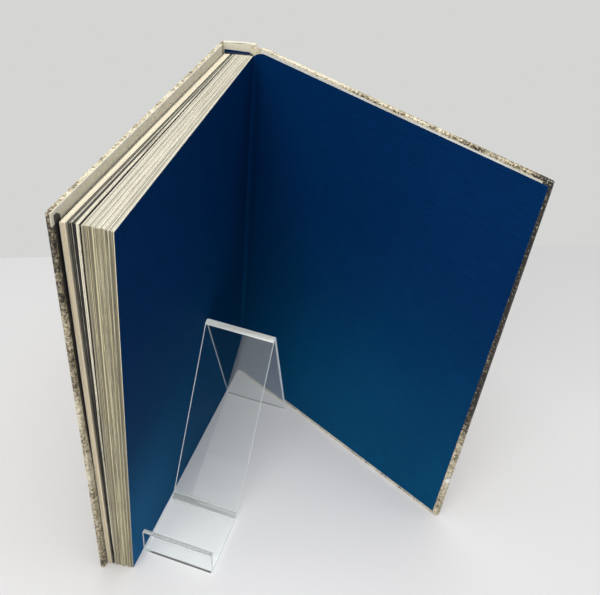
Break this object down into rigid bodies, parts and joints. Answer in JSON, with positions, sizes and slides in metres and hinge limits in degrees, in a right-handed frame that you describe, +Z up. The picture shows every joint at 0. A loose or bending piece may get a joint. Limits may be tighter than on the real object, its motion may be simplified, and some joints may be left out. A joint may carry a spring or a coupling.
{
  "type": "photo album display stand",
  "caption": "Hardback album standing open in a V on its tail edge, with a bent clear acrylic easel that stands inside the V.",
  "frame": {"origin": "on the table, under the middle of the whole group's box", "axes": "+Z up; -Y towards the viewer and the open mouth of the V; +X towards the free edge of the back cover"},
  "size_m": [0.219, 0.2216, 0.3],
  "materials": {
    "leaves": "matt text paper, toned ivory, seen on edge",
    "cream_leaves": "thick cream stock, matt",
    "plate_leaves": "coated plate stock with printed edges, satin",
    "endpaper": "deep blue laid paper, matt",
    "cover_paper": "cream paper with a dark mottled print, satin",
    "spine_paper": "plain cream paper, satin",
    "board": "grey millboard",
    "tape": "linen sewing tape",
    "mull": "open starched cotton",
    "liner": "brown kraft paper",
    "headband": "navy woven band",
    "acrylic": "clear cast acrylic, flame-polished edges"
  },
  "bodies": {
    "text_block": {"leaf_section_1": "leaves", "leaf_section_2": "leaves", "leaf_section_3": "leaves", "leaf_section_4": "leaves", "leaf_section_5": "leaves", "leaf_section_6": "leaves", "back_flyleaf": "endpaper", "sewing_tape_head": "tape", "sewing_tape_middle": "tape", "sewing_tape_tail": "tape", "mull": "mull", "spine_liner": "liner", "headband_head": "headband", "headband_tail": "headband"},
    "front_cover": {"front_board": "board", "front_cover_paper": "cover_paper", "front_pastedown": "endpaper"},
    "front_leaves": {"front_flyleaf": "endpaper", "cream_leaves": "cream_leaves"},
    "plate_section": {"plate_leaves": "plate_leaves"},
    "back_cover": {"back_board": "board", "back_cover_paper": "cover_paper", "back_pastedown": "endpaper"},
    "spine_panel": {"spine_inlay": "board", "spine_covering": "spine_paper"},
    "easel": {"acrylic_easel": "acrylic"}
  },
  "joints": [
    {"name": "back_cover_hinge", "type": "hinge", "parent": "text_block", "child": "back_cover", "pos_m": [-0.088, 0.1067, 0], "axis": [0, 0, 1], "range_deg": [-3.4, 115]},
    {"name": "spine_hinge", "type": "hinge", "parent": "text_block", "child": "spine_panel", "pos_m": [-0.1085, 0.1047, 0], "axis": [0, 0, 1], "range_deg": [-1.02, 34.5]},
    {"name": "front_cover_hinge", "type": "hinge", "parent": "text_block", "child": "front_cover", "pos_m": [-0.1095, 0.1027, 0], "axis": [0, 0, -1], "range_deg": [0, 175]},
    {"name": "front_leaves_turn", "type": "hinge", "parent": "text_block", "child": "front_leaves", "pos_m": [-0.1062, 0.10068, 0], "axis": [0, 0, -1], "range_deg": [0, 78.75]},
    {"name": "plate_section_turn", "type": "hinge", "parent": "text_block", "child": "plate_section", "pos_m": [-0.1019, 0.10191, 0], "axis": [0, 0, -1], "range_deg": [0, 19.25]},
    {"name": "easel_slide", "type": "slide", "parent": "text_block", "child": "easel", "axis": [0.0523, -0.9986, 0], "range_m": [0, 0.22]}
  ],
  "couplings": [
    {"joint": "spine_hinge", "follows": "back_cover_hinge", "ratio": 0.3},
    {"joint": "front_leaves_turn", "follows": "front_cover_hinge", "ratio": 0.45},
    {"joint": "plate_section_turn", "follows": "front_cover_hinge", "ratio": 0.11}
  ]
}
